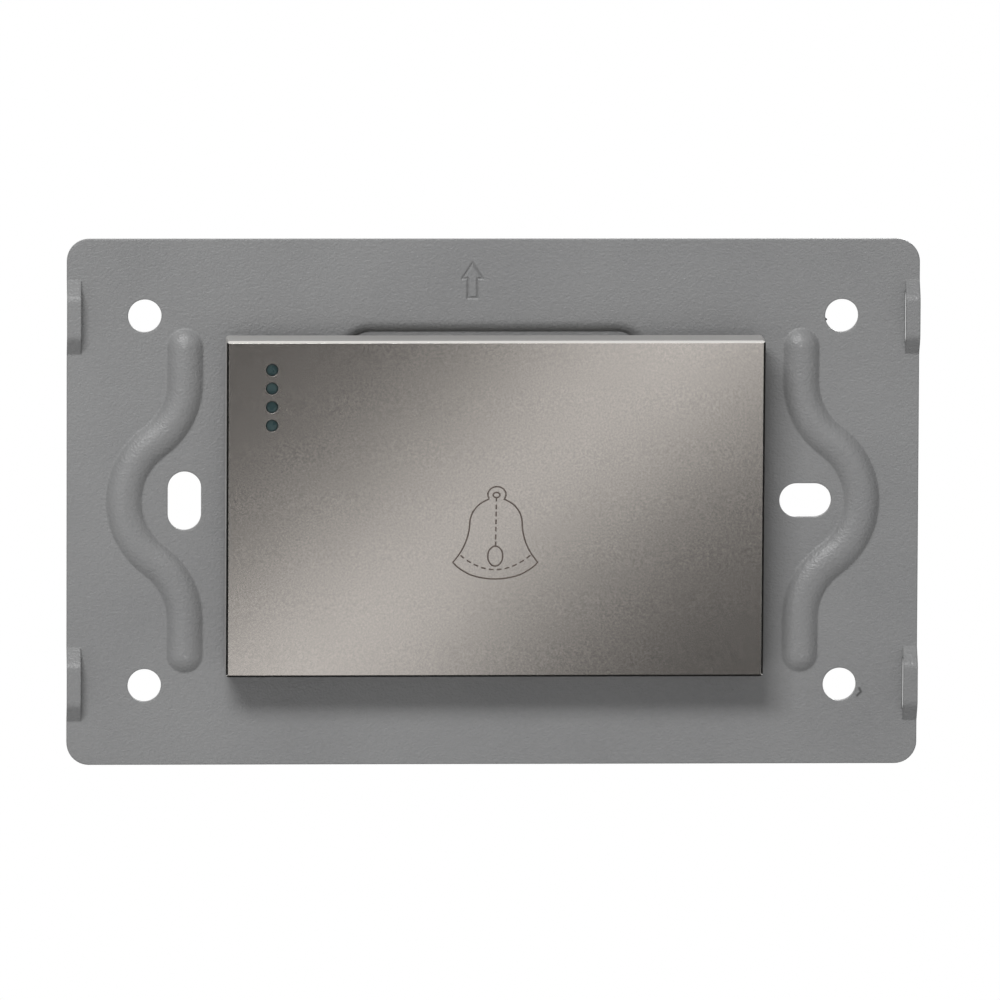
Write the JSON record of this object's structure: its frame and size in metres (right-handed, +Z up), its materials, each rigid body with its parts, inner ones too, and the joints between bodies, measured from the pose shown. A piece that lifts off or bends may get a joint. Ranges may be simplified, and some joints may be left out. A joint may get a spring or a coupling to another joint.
{
  "type": "doorbell push button",
  "caption": "Flush wall bell push: a pressed steel mounting plate carries a wide sprung rocker, with an indicator light strip and a switch housing that sits in the wall box.",
  "frame": {"origin": "centre of the four corner holes, in the plane of the plate's rear face, which lies on the wall", "axes": "+X to the right and +Z up as mounted, the front faces -Y"},
  "size_m": [0.1146, 0.0333, 0.071],
  "materials": {
    "plate_steel": "satin grey paint with a fine orange-peel texture",
    "cap_metal": "satin champagne with a bright cut edge",
    "guide_plastic": "smoked teal, translucent",
    "carrier_plastic": "light grey moulding",
    "frame_plastic": "light grey moulding",
    "housing_plastic": "light grey moulding",
    "plunger_plastic": "natural white moulding",
    "spring_steel": "bright drawn wire",
    "screw_steel": "zinc plated",
    "brass": "pressed, slightly dull",
    "blade_metal": "spring copper alloy",
    "contact_silver": "silver contact face",
    "board_green": "printed board lacquer",
    "lamp_body": "white body with a clear lens",
    "resistor_body": "lacquered body with colour bands",
    "lead_brown": "insulated wire",
    "lead_black": "insulated wire"
  },
  "bodies": {
    "base": {"mounting_plate": "plate_steel", "front_frame": "frame_plastic", "base_housing": "housing_plastic", "indicator_board": "board_green", "indicator_lamp": "lamp_body", "indicator_resistor": "resistor_body", "indicator_lead_line": "lead_brown", "indicator_lead_bell": "lead_black", "return_spring_left": "spring_steel", "return_spring_right": "spring_steel", "line_terminal": "brass", "bell_terminal": "brass", "fixed_contact": "contact_silver", "line_clamp": "brass", "bell_clamp": "brass", "frame_screw_upper_left": "screw_steel", "frame_screw_lower_left": "screw_steel", "frame_screw_upper_right": "screw_steel", "frame_screw_lower_right": "screw_steel"},
    "rocker": {"rocker_cap": "cap_metal", "rocker_carrier": "carrier_plastic", "light_guide": "guide_plastic", "plunger_spring": "spring_steel"},
    "plunger": {"plunger": "plunger_plastic"},
    "blade": {"contact_blade": "blade_metal", "moving_contact": "contact_silver"},
    "line_screw": {"line_clamp_screw": "screw_steel"},
    "bell_screw": {"bell_clamp_screw": "screw_steel"}
  },
  "joints": [
    {"name": "rocker_press", "type": "hinge", "parent": "base", "child": "rocker", "pos_m": [0, 0.001, 0], "axis": [-1, 0, 0], "range_deg": [0, 4.5], "stiffness_Nm_per_rad": 0.35, "springref_deg": -5.16, "deforming": ["return_spring_left", "return_spring_right"]},
    {"name": "blade_rock", "type": "hinge", "parent": "base", "child": "blade", "pos_m": [0, 0.01275, 0], "axis": [1, 0, 0], "range_deg": [0, 6]},
    {"name": "plunger_slide", "type": "slide", "parent": "rocker", "child": "plunger", "axis": [0, -0.9994, -0.0349], "range_m": [0, 0.001], "stiffness_N_per_m": 300, "springref_m": -0.0015, "deforming": ["plunger_spring"]},
    {"name": "line_screw_travel", "type": "slide", "parent": "base", "child": "line_screw", "axis": [0, -1, 0], "range_m": [0, 0.0028]},
    {"name": "bell_screw_travel", "type": "slide", "parent": "base", "child": "bell_screw", "axis": [0, -1, 0], "range_m": [0, 0.0028]}
  ],
  "couplings": [
    {"joint": "blade_rock", "follows": "rocker_press", "ratio": 1.3333}
  ]
}
